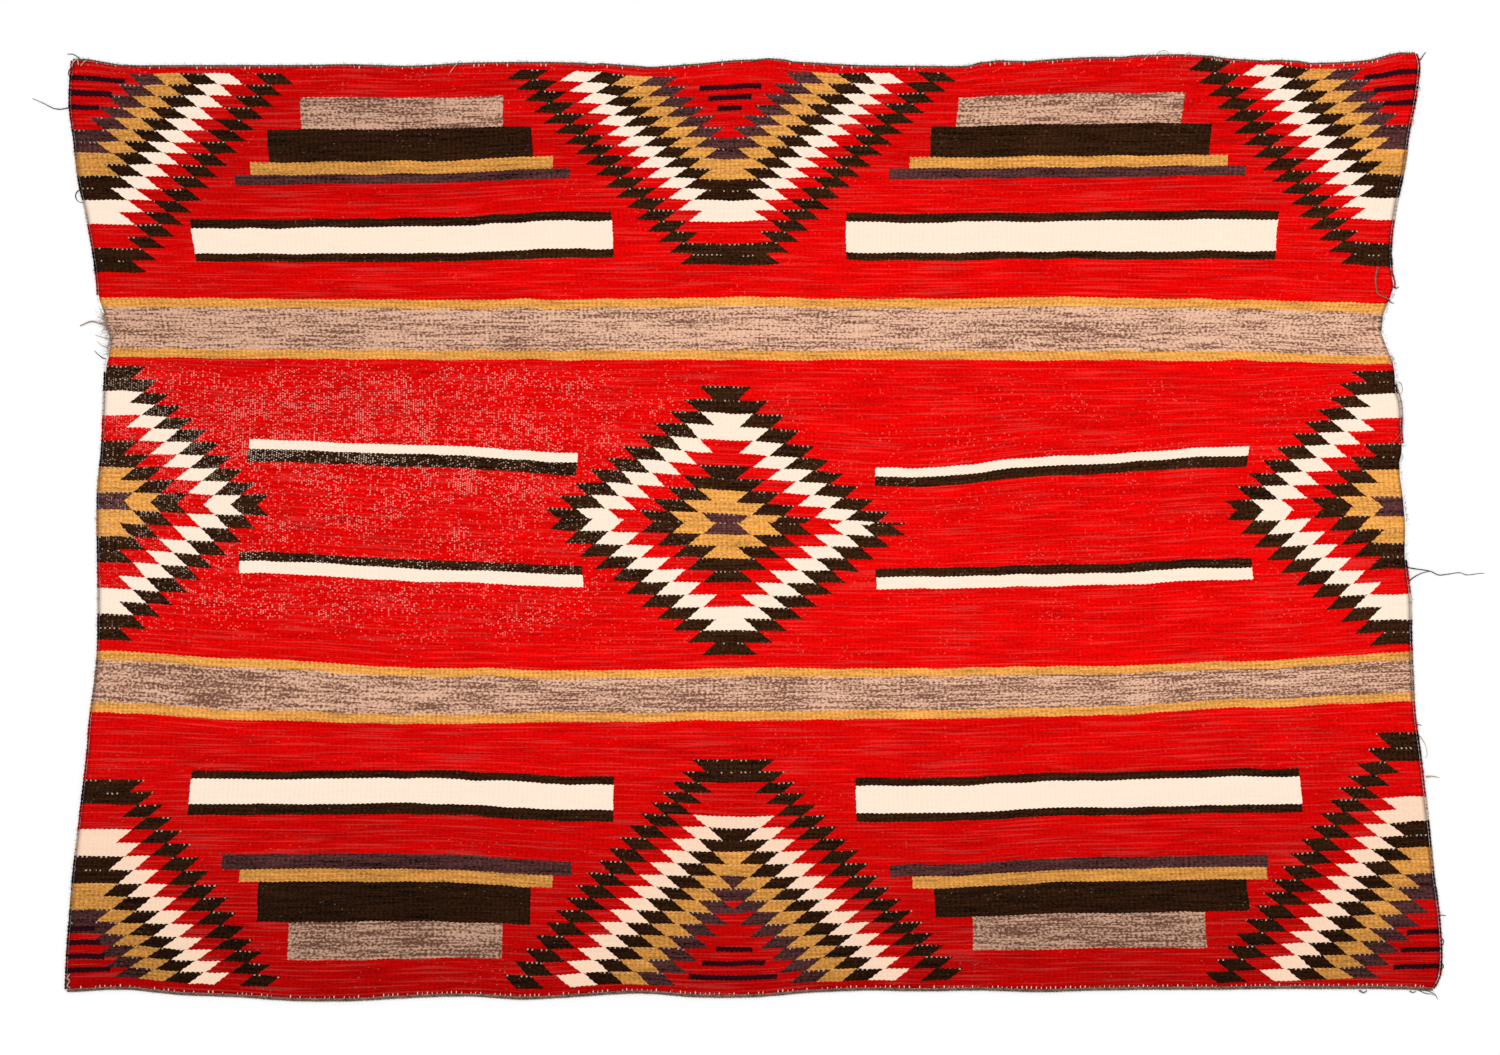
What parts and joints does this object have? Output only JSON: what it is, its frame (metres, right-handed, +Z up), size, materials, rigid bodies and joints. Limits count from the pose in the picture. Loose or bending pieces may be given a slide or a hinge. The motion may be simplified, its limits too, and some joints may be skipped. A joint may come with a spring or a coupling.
{
  "type": "handwoven wool rug",
  "caption": "Worn handwoven wool rug lying flat, with serrated diamonds, stepped bars and grey bands on a red ground",
  "frame": {"origin": "the middle of the cloth, on its underside", "axes": "+X along the weft towards the right edge of the picture, +Y along the warp towards its top edge, +Z up out of the face"},
  "size_m": [1.9294, 1.2632, 0.004],
  "materials": {
    "tapestry_wool": "handspun wool, weft-faced tapestry weave with a ribbed matt face, in red, cream, black-brown, gold, purple and heather grey",
    "end_cord_wool": "twisted grey-brown wool cord, matt and slightly hairy",
    "side_cord_wool": "twined dark wool cord, matt and worn",
    "loose_wool": "unravelled soft wool, pale brown and fuzzy"
  },
  "bodies": {
    "root": {"rug_cloth": "tapestry_wool", "top_end_cord": "end_cord_wool", "bottom_end_cord": "end_cord_wool", "left_side_cord_lower": "side_cord_wool", "left_side_cord_upper": "side_cord_wool", "right_side_cord_lower": "side_cord_wool", "right_side_cord_middle": "side_cord_wool", "right_side_cord_upper": "side_cord_wool", "left_fray": "loose_wool"}
  },
  "joints": []
}
